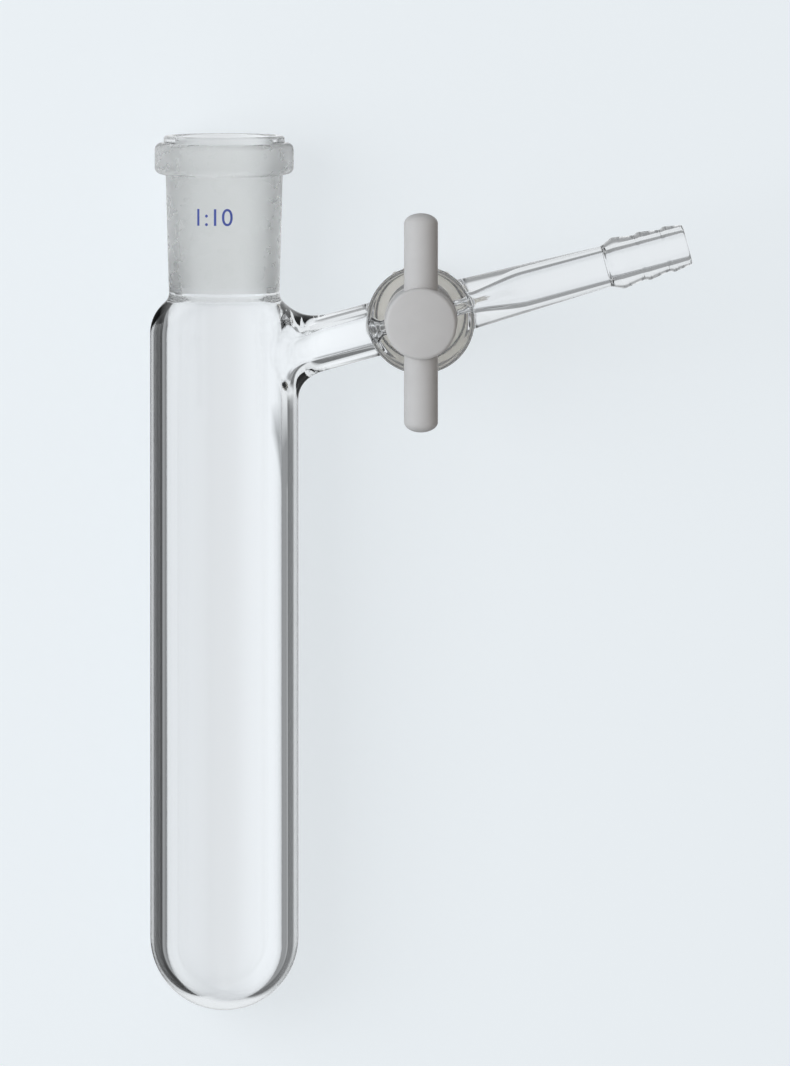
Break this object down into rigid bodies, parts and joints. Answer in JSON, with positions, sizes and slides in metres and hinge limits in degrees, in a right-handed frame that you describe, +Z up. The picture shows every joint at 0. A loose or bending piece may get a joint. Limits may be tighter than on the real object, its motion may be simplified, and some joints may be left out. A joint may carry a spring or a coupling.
{
  "type": "schlenk tube",
  "caption": "Round-bottomed glass reaction tube with a ground tapered socket and a side arm that carries a turned stopcock and a barbed hose end.",
  "frame": {"origin": "centre of the footprint of the lying tube, on the table", "axes": "+Y along the tube towards its mouth, +X towards the side arm, +Z up from the table"},
  "size_m": [0.0988, 0.1686, 0.058],
  "materials": {
    "glass": "clear borosilicate glass, frosted where the socket is ground",
    "ptfe": "turned white PTFE",
    "rubber": "moulded nitrile rubber",
    "nut_plastic": "moulded white plastic"
  },
  "bodies": {
    "glass": {"glass_body": "glass"},
    "key": {"stopcock_key": "ptfe", "sealing_washer": "ptfe"},
    "o_ring": {"o_ring": "rubber"},
    "nut": {"retaining_nut": "nut_plastic"}
  },
  "joints": [
    {"name": "key_turn", "type": "hinge", "parent": "glass", "child": "key", "pos_m": [0.00008, 0.04941, 0.02802], "axis": [-0.3642, 0, 0.9313], "continuous": true},
    {"name": "o_ring_slide", "type": "slide", "parent": "key", "child": "o_ring", "axis": [0.3642, 0, -0.9313], "range_m": [0, 0.002]},
    {"name": "nut_turn", "type": "hinge", "parent": "o_ring", "child": "nut", "pos_m": [0.00008, 0.04941, 0.02802], "axis": [0.3642, 0, -0.9313], "range_deg": [0, 720]}
  ],
  "couplings": [
    {"joint": "nut_turn", "follows": "o_ring_slide", "rad_per_m": 6283.2}
  ]
}
